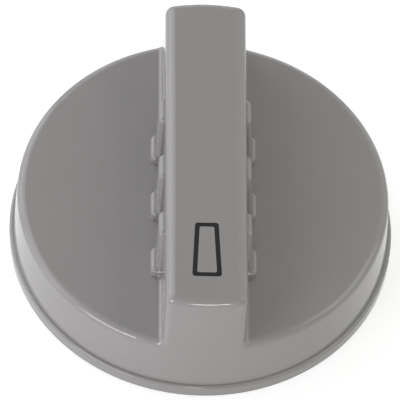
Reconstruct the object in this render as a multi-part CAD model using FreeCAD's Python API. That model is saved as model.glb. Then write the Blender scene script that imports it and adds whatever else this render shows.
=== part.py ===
import FreeCAD, Part
import math
import os

# A push-on control knob: one moulding with a round skirt, two level wings and a grip bar across the
# whole diameter. Millimetres. +Z up, origin at the centre of the rim's foot, grip along Y, mark at -Y.

# Rim and skirt
rim_diameter = 47.0
rim_height = 1.7
rim_step = 0.45
rim_edge_radius = 0.35
skirt_draft = 3.0
knob_height = 18.25
wing_height = 9.1
outer_edge_radius = 0.95

# Grip bar
grip_top_width = 9.85
grip_draft = 0.5
grip_edge_radius = 1.2
grip_foot_radius = 0.5

# Leaning ribs on both sides of the grip, each with a low foot on the wing
rib_count = 3
rib_pitch = 8.28
rib_length = 3.75
rib_lean = 21.0
rib_top_drop = 2.95
rib_stand_out_top = 0.68
rib_stand_out_base = 0.87
rib_edge_radius = 0.65
foot_stand_out = 1.45
foot_height = 1.05
foot_corner_radius = 0.7
foot_edge_radius = 0.5

# Moulding walls under the skirt, the wings and the grip
skirt_wall = 1.8
wing_wall = 2.0
grip_wall = 1.8
grip_top_wall = 2.0

# Hub for a 6 mm shaft with a flat
shaft_diameter = 6.0
shaft_flat_height = 4.6
shaft_clearance = 0.03
hub_diameter = 10.4
hub_draft = 1.0
hub_recess = 1.2
bore_end_wall = 3.55
bore_round_length = 4.0
bore_lead_in = 0.5
key_clearance = 0.01
key_lead_in = 0.5
hub_slot_width = 1.0
hub_slot_below_wing = 0.9
web_count = 4
web_thickness = 1.2
web_depth = 3.4

# Spring ring of round wire, snapped into a groove round the split hub
ring_wire = 0.9
ring_clearance = 0.04
ring_sink = 0.35
ring_height = 3.4
ring_gap_angle = 34.0

# Index mark: the outline of a narrow wedge, stamped into the grip's top near its front end
mark_length = 7.7
mark_wide = 3.57
mark_narrow = 2.83
mark_line = 0.57
mark_outer_corner_radius = 0.36
mark_inner_corner_radius = 0.22
mark_from_front = 4.0
stamp_depth = 0.08
ink_thickness = 0.05

# How far a cutting shape runs past the surface that it cuts, and how near two places count as one
past = 2.0
touching = 0.0001

rim_radius = rim_diameter / 2
skirt_foot_radius = rim_radius - rim_step
rib_top = knob_height - rib_top_drop
wing_underside = wing_height - wing_wall
wing_root = wing_height - wing_wall / 2
grip_underside = knob_height - grip_top_wall
bore_radius = shaft_diameter / 2 + shaft_clearance
key_radius = shaft_diameter / 2 + key_clearance
key_flat = shaft_flat_height - shaft_diameter / 2 + key_clearance
mouth_top = hub_recess + bore_lead_in + bore_round_length
up = FreeCAD.Vector(0, 0, 1)


def point(x, y, z):
    return FreeCAD.Vector(x, y, z)


def slope(degrees):
    return math.tan(math.radians(degrees))


def skirt_radius(z):
    return skirt_foot_radius - (z - rim_height) * slope(skirt_draft)


def grip_half_width(z):
    return grip_top_width / 2 + (knob_height - z) * slope(grip_draft)


def prism(corners, direction):
    wire = Part.makePolygon(corners + corners[:1])
    return Part.Face(wire).extrude(direction)


def slab(half_width, low, high):
    """A block along the whole grip whose half width at each height is half_width(z)."""
    reach = rim_radius + past
    corners = [
        point(-half_width(low), -reach, low),
        point(half_width(low), -reach, low),
        point(half_width(high), -reach, high),
        point(-half_width(high), -reach, high),
    ]
    return prism(corners, point(0, 2 * reach, 0))


def skirt_cone(inset, low, high):
    foot_radius = skirt_radius(low) - inset
    top_radius = skirt_radius(high) - inset
    return Part.makeCone(foot_radius, top_radius, high - low, point(0, 0, low), up)


def edges_where(shape, test):
    return [edge for edge in shape.Edges if test(edge)]


def is_upright(edge):
    return edge.BoundBox.ZLength > touching


def is_level_at(edge, z):
    box = edge.BoundBox
    return abs(box.ZMin - z) < touching and abs(box.ZMax - z) < touching


def is_beyond(edge, x):
    return min(abs(vertex.X) for vertex in edge.Vertexes) > x - touching


def reaches_beyond(edge, x):
    return max(abs(vertex.X) for vertex in edge.Vertexes) > x


def round_corner(corner, before, after, radius):
    """The arc that rounds a profile's corner, from its start on one side to its end on the other."""
    to_before = (before - corner).normalize()
    to_after = (after - corner).normalize()
    half = to_before.getAngle(to_after) / 2
    bisector = (to_before + to_after).normalize()
    start = corner + to_before * (radius / math.tan(half))
    end = corner + to_after * (radius / math.tan(half))
    middle = corner + bisector * (radius / math.sin(half) - radius)
    return Part.Arc(start, middle, end)


def is_on_skirt(edge):
    """Whether an edge above the rim lies on the skirt's cone all along."""
    middle = edge.valueAt((edge.FirstParameter + edge.LastParameter) / 2)
    places = [vertex.Point for vertex in edge.Vertexes] + [middle]
    off = max(abs(math.hypot(p.x, p.y) - skirt_radius(p.z)) for p in places)
    return off < touching and edge.BoundBox.ZMin > rim_height + touching


def make_pot():
    """The rim and the skirt as one solid of revolution, up to the grip's full height."""
    centre = point(0, 0, 0)
    rim_foot = point(rim_radius, 0, 0)
    rim_top = point(rim_radius, 0, rim_height)
    skirt_foot = point(skirt_foot_radius, 0, rim_height)
    skirt_top = point(skirt_radius(knob_height), 0, knob_height)
    middle = point(0, 0, knob_height)
    rim_round = round_corner(rim_top, rim_foot, skirt_foot, rim_edge_radius)
    edges = [
        Part.makeLine(centre, rim_foot),
        Part.makeLine(rim_foot, rim_round.StartPoint),
        rim_round.toShape(),
        Part.makeLine(rim_round.EndPoint, skirt_foot),
        Part.makeLine(skirt_foot, skirt_top),
        Part.makeLine(skirt_top, middle),
        Part.makeLine(middle, centre),
    ]
    return Part.Face(Part.Wire(edges)).revolve(centre, up, 360)


def make_pocket(side):
    """The room over one wing. It leaves the grip's foot and its long top edge rounded."""
    low = wing_height
    high = knob_height + past
    reach = rim_radius + past
    middle = point(0, -reach, knob_height)
    wall_top = point(side * grip_half_width(knob_height), -reach, knob_height)
    wall_foot = point(side * grip_half_width(low), -reach, low)
    outer_foot = point(side * reach, -reach, low)
    outer_high = point(side * reach, -reach, high)
    foot_round = round_corner(wall_foot, outer_foot, wall_top, grip_foot_radius)
    top_round = round_corner(wall_top, wall_foot, middle, grip_edge_radius)
    inner_high = point(top_round.EndPoint.x, -reach, high)
    edges = [
        foot_round.toShape(),
        Part.makeLine(foot_round.EndPoint, top_round.StartPoint),
        top_round.toShape(),
        Part.makeLine(top_round.EndPoint, inner_high),
        Part.makeLine(inner_high, outer_high),
        Part.makeLine(outer_high, outer_foot),
        Part.makeLine(outer_foot, foot_round.StartPoint),
    ]
    return Part.Face(Part.Wire(edges)).extrude(point(0, 2 * reach, 0))


def make_outside():
    """The outer form. One round runs along the wings' edges, up the grip's corners and over its ends."""
    outside = make_pot()
    for side in (-1, 1):
        outside = outside.cut(make_pocket(side))
    outside = outside.removeSplitter()
    return outside.makeFillet(outer_edge_radius, edges_where(outside, is_on_skirt))


def make_rib(centre, side):
    """One rib: it leans away from the mark, and its outer face is a little more drafted than the grip."""
    def half_width(z):
        share = (z - wing_height) / (rib_top - wing_height)
        return grip_half_width(z) + rib_stand_out_base + share * (rib_stand_out_top - rib_stand_out_base)

    shift = (rib_top - wing_root) * slope(rib_lean)
    near = centre - rib_length / 2
    far = centre + rib_length / 2
    corners = [
        point(0, near - shift, wing_root),
        point(0, far - shift, wing_root),
        point(0, far, rib_top),
        point(0, near, rib_top),
    ]
    reach = side * (half_width(wing_root) + past)
    rib = prism(corners, point(reach, 0, 0)).common(slab(half_width, wing_root, rib_top))
    seen = edges_where(rib, lambda edge: reaches_beyond(edge, touching) and not is_level_at(edge, wing_root))
    return rib.makeFillet(rib_edge_radius, seen)


def make_rib_foot(centre, side):
    """The low foot at a rib's base, with rounded outer corners."""
    shift = (rib_top - wing_height - foot_height / 2) * slope(rib_lean)
    near = centre - shift - rib_length / 2
    reach = grip_half_width(wing_height) + foot_stand_out
    high = wing_height + foot_height
    foot = Part.makeBox(reach, rib_length, high - wing_root, point(min(0, side * reach), near, wing_root))
    outer = edges_where(foot, lambda edge: is_upright(edge) and is_beyond(edge, reach))
    foot = foot.makeFillet(foot_corner_radius, outer)
    top = edges_where(foot, lambda edge: is_level_at(edge, high) and abs(edge.CenterOfMass.x) > touching)
    return foot.makeFillet(foot_edge_radius, top)


def rib_centres():
    return [(i - (rib_count - 1) / 2) * rib_pitch for i in range(rib_count)]


def make_hollow():
    """The space under the wings and up inside the grip, left by even walls."""
    under_wings = skirt_cone(skirt_wall, -past, wing_underside)
    inside_grip = slab(lambda z: grip_half_width(z) - grip_wall, 0, grip_underside)
    return under_wings.fuse(inside_grip.common(skirt_cone(skirt_wall, 0, grip_underside)))


def make_hub():
    low = hub_recess
    radius = hub_diameter / 2
    wide = radius + (grip_underside - low) * slope(hub_draft)
    return Part.makeCone(radius, wide, grip_underside - low, point(0, 0, low), up)


def make_webs():
    """Straight webs from the hub to the skirt, evenly spread and clear of the grip's hollow."""
    low = wing_underside - web_depth
    reach = skirt_radius(low) - skirt_wall / 2
    webs = []
    for i in range(web_count):
        web = Part.makeBox(reach, web_thickness, web_depth, point(0, -web_thickness / 2, low))
        web.rotate(point(0, 0, 0), up, (i + 0.5) * 360 / web_count)
        webs.append(web)
    return webs[0].multiFuse(webs[1:])


def make_bore():
    """The shaft's bore: round at its mouth, then with a flat on the side away from the mark."""
    mouth_low = hub_recess + bore_lead_in
    key_low = mouth_top + key_lead_in
    key_depth = knob_height - bore_end_wall - key_low
    foot = point(0, 0, hub_recess)
    chamfer = Part.makeCone(bore_radius + bore_lead_in, bore_radius, bore_lead_in, foot, up)
    mouth = Part.makeCylinder(bore_radius, bore_round_length, point(0, 0, mouth_low), up)
    taper = Part.makeCone(bore_radius, key_radius, key_lead_in, point(0, 0, mouth_top), up)
    key = Part.makeCylinder(key_radius, key_depth, point(0, 0, key_low), up)
    beyond_flat = Part.makeBox(2 * key_radius, key_radius, key_depth, point(-key_radius, key_flat, key_low))
    return chamfer.multiFuse([mouth, taper, key.cut(beyond_flat)])


def make_hub_slots():
    """Two slots that split the hub's mouth, so that the spring ring can press it onto the shaft."""
    length = hub_diameter + 2 * past
    low = hub_recess - past
    high = wing_underside - hub_slot_below_wing
    return Part.makeBox(length, hub_slot_width, high - low, point(-length / 2, -hub_slot_width / 2, low))


def ring_centre_radius():
    hub_radius = hub_diameter / 2 + (ring_height - hub_recess) * slope(hub_draft)
    return hub_radius + ring_wire / 2 - ring_sink


def make_ring_groove():
    return Part.makeTorus(ring_centre_radius(), ring_wire / 2 + ring_clearance, point(0, 0, ring_height), up)


def make_mark(depth, thickness):
    """The mark's outline as a flat layer, with its foot that deep under the grip's top."""
    low = knob_height - depth
    front = mark_from_front - skirt_radius(knob_height)

    def wedge(inset, radius):
        lean = (mark_wide - mark_narrow) / 2 / mark_length
        side_inset = inset * math.hypot(1, lean)
        near = mark_wide / 2 - side_inset - inset * lean
        far = mark_narrow / 2 - side_inset + inset * lean
        corners = [
            point(-near, front + inset, low),
            point(near, front + inset, low),
            point(far, front + mark_length - inset, low),
            point(-far, front + mark_length - inset, low),
        ]
        body = prism(corners, point(0, 0, thickness))
        return body.makeFillet(radius, edges_where(body, is_upright))

    return wedge(0, mark_outer_corner_radius).cut(wedge(mark_line, mark_inner_corner_radius))


def make_knob_body():
    body = make_outside()
    for side in (-1, 1):
        for centre in rib_centres():
            body = body.fuse(make_rib(centre, side)).fuse(make_rib_foot(centre, side))
    inside = make_hollow().cut(make_hub()).cut(make_webs())
    body = body.cut(inside).cut(make_bore()).cut(make_hub_slots()).cut(make_ring_groove())
    return body.cut(make_mark(stamp_depth, stamp_depth + past)).removeSplitter()


def make_spring_ring():
    sweep = 360 - ring_gap_angle
    ring = Part.makeTorus(ring_centre_radius(), ring_wire / 2, point(0, 0, 0), up, 0, 360, sweep)
    ring.rotate(point(0, 0, 0), up, 90 + ring_gap_angle / 2)
    ring.translate(point(0, 0, ring_height))
    return ring


def save(name, shape):
    solid = shape.Solids[0] if len(shape.Solids) == 1 else shape
    print(name, "valid", solid.isValid(), "solids", len(shape.Solids), "volume", round(solid.Volume, 3))
    solid.exportStep("parts/" + name + ".step")


os.makedirs("parts", exist_ok=True)
save("knob_body", make_knob_body())
save("hub_spring_ring", make_spring_ring())
save("index_mark", make_mark(stamp_depth, ink_thickness))
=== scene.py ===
import math
from collections import namedtuple

import bpy
from mathutils import Matrix, Vector


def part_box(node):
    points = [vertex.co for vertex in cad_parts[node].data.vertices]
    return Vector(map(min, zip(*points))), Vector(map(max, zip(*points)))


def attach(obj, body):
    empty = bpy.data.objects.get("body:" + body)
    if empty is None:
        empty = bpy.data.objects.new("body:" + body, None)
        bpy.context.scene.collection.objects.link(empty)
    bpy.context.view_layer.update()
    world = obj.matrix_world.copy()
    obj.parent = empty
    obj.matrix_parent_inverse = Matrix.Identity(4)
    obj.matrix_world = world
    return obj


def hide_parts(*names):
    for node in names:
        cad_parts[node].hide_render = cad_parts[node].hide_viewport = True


# A grey push-on control knob on a white table. Metres and degrees. +Z is up, the grip bar lies along Y,
# and its marked end is at -Y. The surface patterns are laid out in millimetres.

MM = 0.001

# A surface pattern: how fine it is, how much it changes what it feeds, and how much finer noise it holds
Pattern = namedtuple("Pattern", "scale amount detail", defaults=(2.0,))

# Scattered marks: a pattern that starts to show at one level of its noise and is full at the next
Marks = namedtuple("Marks", "scale detail start full amount")

# Where the lowest and highest parts of the noise usually lie
noise_low = 0.3
noise_high = 0.7

# The camera, as fitted to the photo's outlines, with its lens in millimetres
camera_distance = 822.5 * MM
camera_elevation = 56.14
camera_azimuth = -3.926
camera_roll = -4.499
camera_lens = 600.9
camera_rise = 4.247 * MM

# The white table, which glows only where it is seen or mirrored, and the sky, which is dim everywhere else
floor_half = 1000 * MM
floor_drop = 0.02 * MM
floor_white = 0.8
floor_glow = 0.5
floor_roughness = 0.6
floor_mottling = Pattern(0.02, 0.01)
sky_light = 0.15

# Soft lamps: the direction that each stands in, its width and height, its power in watts and its tint
lamp_distance = 600 * MM
broad = (400 * MM, 400 * MM)
narrow = (180 * MM, 100 * MM)
long = (300 * MM, 90 * MM)
neutral = (1.0, 0.99, 0.98)
cool = (0.985, 0.97, 1.0)
warm = (1.0, 0.995, 0.955)
lamps = {
    "back_left": ((-0.5, 0.55, 0.66), broad, 0.81, cool),
    "back_left_low": ((-0.7, 0.65, 0.28), broad, 0.68, cool),
    "back_low": ((0.0, 0.9, 0.35), broad, 0.43, neutral),
    "back_right": ((0.5, 0.55, 0.66), broad, 0.29, neutral),
    "back_right_low": ((0.7, 0.65, 0.28), broad, 0.27, warm),
    "left": ((-0.95, 0.0, 0.3), broad, 0.68, cool),
    "left_up": ((-0.75, 0.0, 0.66), broad, 0.3, cool),
    "left_front": ((-0.66, -0.66, 0.35), broad, 0.2, cool),
    "left_strip": ((-0.69, -0.69, 0.24), long, 1.25, cool),
    "front_strip": ((0.06, -0.96, 0.27), narrow, 0.92, neutral),
    "right": ((0.95, 0.0, 0.3), broad, 0.15, warm),
    "right_up": ((0.75, 0.0, 0.66), broad, 0.84, warm),
}

# Grey plastic
plastic_grey = (0.271, 0.266, 0.26)
plastic_ior = 1.5
outside_roughness = 0.1
underside_roughness = 0.38
plastic_clouds = Pattern(0.12, 0.012)
plastic_mottling = Pattern(1.6, 0.008, 4.0)
# Faint light and dark streaks drawn out along the grip are a painted reflection of the sheet's creases;
# the stretch draws out these streaks and the scuffs
plastic_reflection_streaks = Pattern(0.9, 0.006)
grip_pattern_stretch = (1, 0.12, 1)
handling = Marks(0.3, 5.0, 0.45, 0.75, 0.03)
scuffs = Marks(5.0, 3.0, 0.6, 0.8, 0.03)
plastic_relief = 0.004 * MM
ripple = Pattern(0.5, 1.0)
orange_peel = Pattern(1.8, 0.3, 3.0)
tool_marks = Pattern(2.5, 1.0, 4.0)

# Regions of the moulding, in millimetres: the round space under the wings, the room inside the grip,
# how far inside the mark's outline its smooth patch starts, and how wide a box's soft border is
hidden_radius = 21.3
hidden_height = 7.3
inside_grip = ((-3.6, -20.8, -1.0), (3.6, 20.8, 16.5))
stamp_patch_inset = 0.7
box_fade = 0.1

# How much lighter the patch inside the mark is painted, a painted sheen, and how much smoother the hot
# stamp left it
stamp_patch_painted_sheen = 0.02
stamp_patch_polish = 0.02

# Black foil of the mark
foil_black = (0.007, 0.007, 0.008)
foil_roughness = 0.38
foil_stretch = (1, 0.15, 1)
foil_specular_level = 0.2
foil_clouds = Pattern(0.8, 0.25, 3.0)
foil_streaks = Pattern(5.0, 0.3)
foil_pinholes = Marks(9.0, 2.0, 0.7, 0.76, 4.0)
foil_sheen_streaks = Pattern(3.0, 0.06)
foil_sheen_clouds = Pattern(1.2, 0.05)
foil_relief = 0.003 * MM
foil_grain = Pattern(6.0, 1.0, 3.0)

# Drawn spring wire of the hub's ring
steel_grey = (0.55, 0.55, 0.56)
steel_roughness = 0.25
steel_lines = Pattern(14.0, 0.12, 3.0)
steel_heat = Pattern(0.5, 0.1)
steel_sheen_lines = Pattern(10.0, 0.05)
steel_sheen_clouds = Pattern(0.7, 0.04)
steel_relief = 0.004 * MM
steel_grooves = Pattern(14.0, 1.0, 3.0)
steel_wander = Pattern(0.4, 0.05)
ring_gap_angle = 34.0
ring_gap_direction = 90.0
ring_steps = 200
wire_sides = 28

# Round marks that the mould's ejector pins leave on the underside of the wings
pin_mark_count = 8
pin_row_radius = 15 * MM
pin_row_start = 22.5
pin_mark_radius = 1.2 * MM
pin_mark_height = 0.04 * MM
pin_mark_sides = 48
pin_flash_radius = 0.06 * MM
pin_flash_sides = 10
wing_underside = 7.1 * MM

# An edge of a grown piece that turns by more than this stays crisp
crisp_angle = 40.0

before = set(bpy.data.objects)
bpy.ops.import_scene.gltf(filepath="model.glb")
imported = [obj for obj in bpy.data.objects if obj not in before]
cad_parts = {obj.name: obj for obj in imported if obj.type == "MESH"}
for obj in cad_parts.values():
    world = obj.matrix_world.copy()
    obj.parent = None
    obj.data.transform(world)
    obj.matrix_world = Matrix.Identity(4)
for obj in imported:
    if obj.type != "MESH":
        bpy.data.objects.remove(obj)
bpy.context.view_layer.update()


def clear_start_scene():
    for name in ("Cube", "Light", "Camera"):
        found = bpy.data.objects.get(name)
        if found is not None:
            bpy.data.objects.remove(found)


def add_to_scene(name, data):
    made = bpy.data.objects.new(name, data)
    bpy.context.scene.collection.objects.link(made)
    return made


# Helpers for shaders and for geometry trees

def connect(tree, value, socket):
    """Feed a socket from another node, or give it a fixed value."""
    if isinstance(value, bpy.types.NodeSocket):
        tree.links.new(value, socket)
    else:
        socket.default_value = value


def add_node(tree, kind, inputs=None, **settings):
    """A node with its settings and with its named inputs fed."""
    node = tree.nodes.new(kind)
    for name, value in settings.items():
        setattr(node, name, value)
    for name, value in (inputs or {}).items():
        connect(tree, value, node.inputs[name])
    return node


def calc(tree, operation, first, second):
    node = add_node(tree, "ShaderNodeMath", operation=operation)
    connect(tree, first, node.inputs[0])
    connect(tree, second, node.inputs[1])
    return node.outputs["Value"]


def total(tree, *values):
    result = values[0]
    for value in values[1:]:
        result = calc(tree, "ADD", result, value)
    return result


def vector_calc(tree, operation, first, second=(0, 0, 0), output="Vector"):
    node = add_node(tree, "ShaderNodeVectorMath", operation=operation)
    connect(tree, first, node.inputs[0])
    connect(tree, second, node.inputs[1])
    return node.outputs[output]


def spread(tree, value, start, end, low, high):
    """Turn the range from start to end into the range from low to high, and hold it at its ends."""
    inputs = {"Value": value, "From Min": start, "From Max": end, "To Min": low, "To Max": high}
    return add_node(tree, "ShaderNodeMapRange", inputs).outputs["Result"]


def noise(tree, place, pattern):
    """A cloudy pattern between 0 and 1."""
    inputs = {"Vector": place, "Scale": pattern.scale, "Detail": pattern.detail}
    return add_node(tree, "ShaderNodeTexNoise", inputs).outputs["Fac"]


def uneven(tree, place, pattern):
    """A soft pattern that runs from minus to plus its amount."""
    level = noise(tree, place, pattern)
    return spread(tree, level, noise_low, noise_high, -pattern.amount, pattern.amount)


def raised(tree, place, pattern):
    """A pattern that runs from 0 up to its amount."""
    return calc(tree, "MULTIPLY", noise(tree, place, pattern), pattern.amount)


def scattered(tree, place, marks):
    """Marks with clear surface between them, from 0 up to their amount."""
    return spread(tree, noise(tree, place, marks), marks.start, marks.full, 0.0, marks.amount)


# Materials

def new_material(name):
    material = bpy.data.materials.new(name)
    material.use_nodes = True
    return material, material.node_tree, material.node_tree.nodes["Principled BSDF"]


def place_in_mm(tree, stretch=(1, 1, 1)):
    """Where a point lies on the object, in millimetres; a stretch under 1 draws a pattern out."""
    source = add_node(tree, "ShaderNodeTexCoord").outputs["Object"]
    scale = tuple(value / MM for value in stretch)
    return add_node(tree, "ShaderNodeMapping", {"Vector": source, "Scale": scale}).outputs["Vector"]


def give_colour(tree, shader, colour, shade):
    """Colour a surface, lighter or darker from place to place by a share of the colour."""
    scale = calc(tree, "ADD", 1.0, shade)
    node = add_node(tree, "ShaderNodeVectorMath", {"Scale": scale}, operation="SCALE")
    connect(tree, colour, node.inputs[0])
    tree.links.new(node.outputs["Vector"], shader.inputs["Base Color"])


def give_roughness(tree, shader, *shares):
    tree.links.new(total(tree, *shares), shader.inputs["Roughness"])


def give_relief(tree, shader, height, depth):
    """Make a surface bumpy, by the depth where the height is 1."""
    bump = add_node(tree, "ShaderNodeBump", {"Height": height, "Distance": depth})
    tree.links.new(bump.outputs["Normal"], shader.inputs["Normal"])


def inside_box(tree, place, low, high):
    """1 inside a box, fading to 0 outside it."""
    middle = tuple((a + b) / 2 for a, b in zip(low, high))
    half = tuple((b - a) / 2 for a, b in zip(low, high))
    off = vector_calc(tree, "ABSOLUTE", vector_calc(tree, "SUBTRACT", place, middle))
    beyond = vector_calc(tree, "SUBTRACT", off, half)
    sides = add_node(tree, "ShaderNodeSeparateXYZ", {"Vector": beyond}).outputs
    furthest = calc(tree, "MAXIMUM", calc(tree, "MAXIMUM", sides["X"], sides["Y"]), sides["Z"])
    return spread(tree, furthest, 0, box_fade, 1, 0)


def from_axis(tree, place):
    """The distance from the shaft's axis."""
    return vector_calc(tree, "LENGTH", vector_calc(tree, "MULTIPLY", place, (1, 1, 0)), output="Value")


def height_of(tree, place):
    return add_node(tree, "ShaderNodeSeparateXYZ", {"Vector": place}).outputs["Z"]


def stamp_patch(tree, place):
    """1 inside the mark's outline, where the hot stamp pressed the plastic smooth and where a painted
    sheen lightens it.
    """
    # Narrower than the mark's box, but higher, so that it takes in the plastic's surface
    inset = (stamp_patch_inset, stamp_patch_inset, -stamp_patch_inset)
    low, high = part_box("index_mark")
    low = [value / MM + gap for value, gap in zip(low, inset)]
    high = [value / MM - gap for value, gap in zip(high, inset)]
    return inside_box(tree, place, low, high)


def hidden_side(tree, place):
    """1 on the underside, which the mould leaves duller than the outside."""
    inward = calc(tree, "LESS_THAN", from_axis(tree, place), hidden_radius)
    under = calc(tree, "LESS_THAN", height_of(tree, place), hidden_height)
    within = inside_box(tree, place, *inside_grip)
    return calc(tree, "MAXIMUM", calc(tree, "MULTIPLY", inward, under), within)


def grey_plastic():
    """Glossy moulded plastic: faintly clouded and mottled, with a painted reflection in faint streaks
    along the grip and a painted sheen inside the mark, with handling marks, and duller underneath.
    """
    material, tree, shader = new_material("moulded_grey")
    place = place_in_mm(tree)
    along_grip = place_in_mm(tree, grip_pattern_stretch)
    patch = stamp_patch(tree, place)
    hidden = hidden_side(tree, place)

    clouds = uneven(tree, place, plastic_clouds)
    mottling = uneven(tree, place, plastic_mottling)
    # Painted reflection: faint light and dark streaks along the grip
    reflection_streaks = uneven(tree, along_grip, plastic_reflection_streaks)
    # Painted sheen: the patch inside the mark is painted lighter
    painted_sheen_patch = calc(tree, "MULTIPLY", patch, stamp_patch_painted_sheen)
    give_colour(tree, shader, plastic_grey, total(tree, clouds, mottling, reflection_streaks, painted_sheen_patch))

    handled = scattered(tree, place, handling)
    scuffed = scattered(tree, along_grip, scuffs)
    dull = calc(tree, "MULTIPLY", hidden, underside_roughness - outside_roughness)
    smooth = calc(tree, "MULTIPLY", patch, -stamp_patch_polish)
    give_roughness(tree, shader, outside_roughness, handled, scuffed, dull, smooth)

    tooling = calc(tree, "MULTIPLY", hidden, raised(tree, place, tool_marks))
    height = total(tree, raised(tree, place, ripple), raised(tree, place, orange_peel), tooling)
    give_relief(tree, shader, height, plastic_relief)
    shader.inputs["IOR"].default_value = plastic_ior
    return material


def black_foil():
    """Stamped foil: near black, drawn along the grip, with tiny pinholes and a slightly uneven sheen."""
    material, tree, shader = new_material("stamped_black_foil")
    place = place_in_mm(tree)
    along_grip = place_in_mm(tree, foil_stretch)
    clouds = uneven(tree, place, foil_clouds)
    streaks = uneven(tree, along_grip, foil_streaks)
    pinholes = scattered(tree, place, foil_pinholes)
    give_colour(tree, shader, foil_black, total(tree, clouds, streaks, pinholes))
    sheen_streaks = uneven(tree, along_grip, foil_sheen_streaks)
    sheen_clouds = uneven(tree, place, foil_sheen_clouds)
    give_roughness(tree, shader, foil_roughness, sheen_streaks, sheen_clouds)
    give_relief(tree, shader, raised(tree, along_grip, foil_grain), foil_relief)
    shader.inputs["Specular IOR Level"].default_value = foil_specular_level
    return material


def drawn_steel():
    """Bright spring wire with fine drawing lines along it and darker patches from its heat treatment."""
    material, tree, shader = new_material("drawn_spring_steel")
    place = place_in_mm(tree)
    inputs = {"X": from_axis(tree, place), "Y": height_of(tree, place)}
    section = add_node(tree, "ShaderNodeCombineXYZ", inputs).outputs["Vector"]
    across_wire = vector_calc(tree, "ADD", section, raised(tree, place, steel_wander))
    lines = uneven(tree, across_wire, steel_lines)
    heat = uneven(tree, place, steel_heat)
    give_colour(tree, shader, steel_grey, total(tree, lines, heat))
    sheen_lines = uneven(tree, across_wire, steel_sheen_lines)
    sheen_clouds = uneven(tree, place, steel_sheen_clouds)
    give_roughness(tree, shader, steel_roughness, sheen_lines, sheen_clouds)
    give_relief(tree, shader, raised(tree, across_wire, steel_grooves), steel_relief)
    shader.inputs["Metallic"].default_value = 1.0
    return material


def seen_or_mirrored(tree):
    """1 for a ray from the camera, or one that a glossy or clear surface sends on, and otherwise 0."""
    path = add_node(tree, "ShaderNodeLightPath").outputs
    sent_on = calc(tree, "MAXIMUM", path["Is Glossy Ray"], path["Is Transmission Ray"])
    return calc(tree, "MAXIMUM", path["Is Camera Ray"], sent_on)


def white_table():
    """A white table top that looks white to the camera and still takes the knob's shadow."""
    material, tree, shader = new_material("white_table")
    white = (floor_white, floor_white, floor_white)
    give_colour(tree, shader, white, uneven(tree, place_in_mm(tree), floor_mottling))
    glow = calc(tree, "MULTIPLY", seen_or_mirrored(tree), floor_glow)
    tree.links.new(glow, shader.inputs["Emission Strength"])
    shader.inputs["Emission Color"].default_value = (1, 1, 1, 1)
    shader.inputs["Roughness"].default_value = floor_roughness
    return material


# Pieces grown by geometry trees

def new_geometry_tree(name, sizes):
    """A geometry tree with one named input for each size, and those inputs as outputs inside it."""
    tree = bpy.data.node_groups.new(name, "GeometryNodeTree")
    tree.interface.new_socket("Geometry", in_out="OUTPUT", socket_type="NodeSocketGeometry")
    for size, value in sizes.items():
        kind = "NodeSocketInt" if isinstance(value, int) else "NodeSocketFloat"
        tree.interface.new_socket(size, in_out="INPUT", socket_type=kind)
    return tree, add_node(tree, "NodeGroupInput").outputs


def moved(tree, geometry, height, turn=0.0):
    """Geometry turned about the shaft's axis and lifted to its height."""
    inputs = {
        "Geometry": geometry,
        "Translation": add_node(tree, "ShaderNodeCombineXYZ", {"Z": height}).outputs["Vector"],
        "Rotation": add_node(tree, "ShaderNodeCombineXYZ", {"Z": turn}).outputs["Vector"],
    }
    return add_node(tree, "GeometryNodeTransform", inputs).outputs["Geometry"]


def round_bar(tree, path, radius, sides):
    """A bar of round section swept along a path, with its ends closed."""
    section = add_node(tree, "GeometryNodeCurvePrimitiveCircle", {"Radius": radius, "Resolution": sides})
    inputs = {"Curve": path, "Profile Curve": section.outputs["Curve"], "Fill Caps": True}
    return add_node(tree, "GeometryNodeCurveToMesh", inputs).outputs["Mesh"]


def softly_shaded(tree, mesh):
    """Smooth faces, with the edges that turn sharply kept crisp."""
    smooth = add_node(tree, "GeometryNodeSetShadeSmooth", {"Geometry": mesh}, domain="FACE")
    turn = add_node(tree, "GeometryNodeInputMeshEdgeAngle").outputs["Unsigned Angle"]
    inputs = {
        "Geometry": smooth.outputs["Geometry"],
        "Selection": calc(tree, "GREATER_THAN", turn, math.radians(crisp_angle)),
        "Shade Smooth": False,
    }
    return add_node(tree, "GeometryNodeSetShadeSmooth", inputs, domain="EDGE").outputs["Geometry"]


def close_tree(tree, geometry, material):
    """End a tree: real geometry in place of instances, with its material."""
    real = add_node(tree, "GeometryNodeRealizeInstances", {"Geometry": geometry}).outputs["Geometry"]
    inputs = {"Geometry": softly_shaded(tree, real), "Material": material}
    dressed = add_node(tree, "GeometryNodeSetMaterial", inputs).outputs["Geometry"]
    add_node(tree, "NodeGroupOutput", {"Geometry": dressed})


def grow(name, tree, sizes, material):
    """Run a geometry tree with its sizes and keep the result as a piece with a plain mesh."""
    piece = add_to_scene(name, bpy.data.meshes.new(name))
    modifier = piece.modifiers.new(name, "NODES")
    modifier.node_group = tree
    for socket in tree.interface.items_tree:
        if socket.name in sizes:
            modifier[socket.identifier] = sizes[socket.name]
    evaluated = piece.evaluated_get(bpy.context.evaluated_depsgraph_get())
    grown = bpy.data.meshes.new_from_object(evaluated)
    piece.modifiers.remove(modifier)
    grown.materials.clear()
    grown.materials.append(material)
    piece.data = grown
    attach(piece, "root")
    return piece


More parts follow.
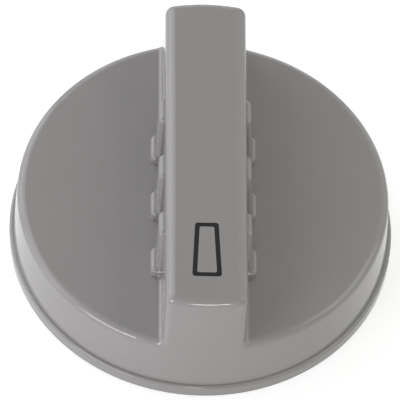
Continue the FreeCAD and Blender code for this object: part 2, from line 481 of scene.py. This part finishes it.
def add_spring_ring():
    """The open ring of spring wire that presses the split hub onto the shaft."""
    low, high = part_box("hub_spring_ring")
    wire_radius = (high[2] - low[2]) / 2
    sizes = {
        "wire radius": wire_radius,
        "ring radius": high[0] - wire_radius,
        "ring height": low[2] + wire_radius,
        "gap angle": math.radians(ring_gap_angle),
    }
    tree, size = new_geometry_tree("spring_ring", sizes)
    half_gap = calc(tree, "DIVIDE", size["gap angle"], 2)
    inputs = {
        "Resolution": ring_steps,
        "Radius": size["ring radius"],
        "Start Angle": calc(tree, "ADD", half_gap, math.radians(ring_gap_direction)),
        "Sweep Angle": calc(tree, "SUBTRACT", math.radians(360), size["gap angle"]),
    }
    path = add_node(tree, "GeometryNodeCurveArc", inputs, mode="RADIUS").outputs["Curve"]
    wire = round_bar(tree, path, size["wire radius"], wire_sides)
    steel = drawn_steel()
    close_tree(tree, moved(tree, wire, size["ring height"]), steel)
    ring = grow("spring_ring", tree, sizes, steel)
    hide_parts("hub_spring_ring")


def add_pin_marks(plastic):
    """The ring of ejector marks: low round lands with a fine line of flash round each."""
    sizes = {
        "mark count": pin_mark_count,
        "row radius": pin_row_radius,
        "row start": math.radians(pin_row_start),
        "mark radius": pin_mark_radius,
        "mark height": pin_mark_height,
        "flash radius": pin_flash_radius,
        "surface height": wing_underside,
    }
    tree, size = new_geometry_tree("pin_marks", sizes)
    sunk = calc(tree, "MULTIPLY", size["mark height"], -1)
    line_inputs = {
        "Start": add_node(tree, "ShaderNodeCombineXYZ", {"Z": sunk}).outputs["Vector"],
        "End": add_node(tree, "ShaderNodeCombineXYZ", {"Z": size["mark height"]}).outputs["Vector"],
    }
    line = add_node(tree, "GeometryNodeCurvePrimitiveLine", line_inputs).outputs["Curve"]
    land = round_bar(tree, line, size["mark radius"], pin_mark_sides)
    circle_inputs = {"Resolution": pin_mark_sides, "Radius": size["mark radius"]}
    circle = add_node(tree, "GeometryNodeCurvePrimitiveCircle", circle_inputs).outputs["Curve"]
    flash = round_bar(tree, circle, size["flash radius"], pin_flash_sides)
    mark = add_node(tree, "GeometryNodeJoinGeometry")
    tree.links.new(land, mark.inputs["Geometry"])
    tree.links.new(flash, mark.inputs["Geometry"])
    row_inputs = {"Vertices": size["mark count"], "Radius": size["row radius"]}
    row = add_node(tree, "GeometryNodeMeshCircle", row_inputs).outputs["Mesh"]
    spread_inputs = {"Points": row, "Instance": mark.outputs["Geometry"]}
    marks = add_node(tree, "GeometryNodeInstanceOnPoints", spread_inputs).outputs["Instances"]
    close_tree(tree, moved(tree, marks, size["surface height"], size["row start"]), plastic)
    grow("pin_marks", tree, sizes, plastic)


# The camera, the table and the light

def add_camera():
    """The photo's camera: rolled a little, and aimed a little up the picture from the origin."""
    azimuth = math.radians(camera_azimuth)
    elevation = math.radians(camera_elevation)
    roll = math.radians(camera_roll)
    back = Vector((
        math.sin(azimuth) * math.cos(elevation),
        -math.cos(azimuth) * math.cos(elevation),
        math.sin(elevation),
    ))
    level_right = Vector((math.cos(azimuth), math.sin(azimuth), 0))
    level_up = back.cross(level_right)
    right = math.cos(roll) * level_right - math.sin(roll) * level_up
    up = back.cross(right)
    place = camera_distance * back
    back = (place - camera_rise * up).normalized()
    up = back.cross(right)
    camera = add_to_scene("camera", bpy.data.cameras.new("camera"))
    camera.matrix_world = Matrix.Translation(place) @ Matrix((right, up, back)).transposed().to_4x4()
    camera.data.lens = camera_lens
    bpy.context.scene.camera = camera


def add_floor():
    signs = [(-1, -1), (1, -1), (1, 1), (-1, 1)]
    corners = [(x * floor_half, y * floor_half, -floor_drop) for x, y in signs]
    mesh = bpy.data.meshes.new("floor")
    mesh.from_pydata(corners, [], [(0, 1, 2, 3)])
    mesh.materials.append(white_table())
    add_to_scene("floor", mesh)


def add_sky():
    """An even white sky that the camera and glossy surfaces see whole, and that lights only a little."""
    world = bpy.data.worlds.new("sky")
    world.use_nodes = True
    bpy.context.scene.world = world
    tree = world.node_tree
    sky = tree.nodes["Background"]
    sky.inputs["Color"].default_value = (1, 1, 1, 1)
    strength = spread(tree, seen_or_mirrored(tree), 0, 1, sky_light, 1)
    tree.links.new(strength, sky.inputs["Strength"])


def add_lamps():
    for name, (direction, (width, height), power, tint) in lamps.items():
        lamp = bpy.data.lights.new(name, "AREA")
        lamp.shape = "RECTANGLE"
        lamp.size = width
        lamp.size_y = height
        lamp.energy = power
        lamp.color = tint
        placed = add_to_scene(name, lamp)
        placed.location = Vector(direction).normalized() * lamp_distance
        placed.rotation_euler = placed.location.to_track_quat("Z", "Y").to_euler()


bpy.context.scene.view_settings.view_transform = "Standard"
clear_start_scene()
add_camera()
add_floor()
add_sky()
add_lamps()
moulded_grey = grey_plastic()
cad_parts["knob_body"].material_slots[0].material = moulded_grey
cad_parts["index_mark"].material_slots[0].material = black_foil()
add_spring_ring()
add_pin_marks(moulded_grey)
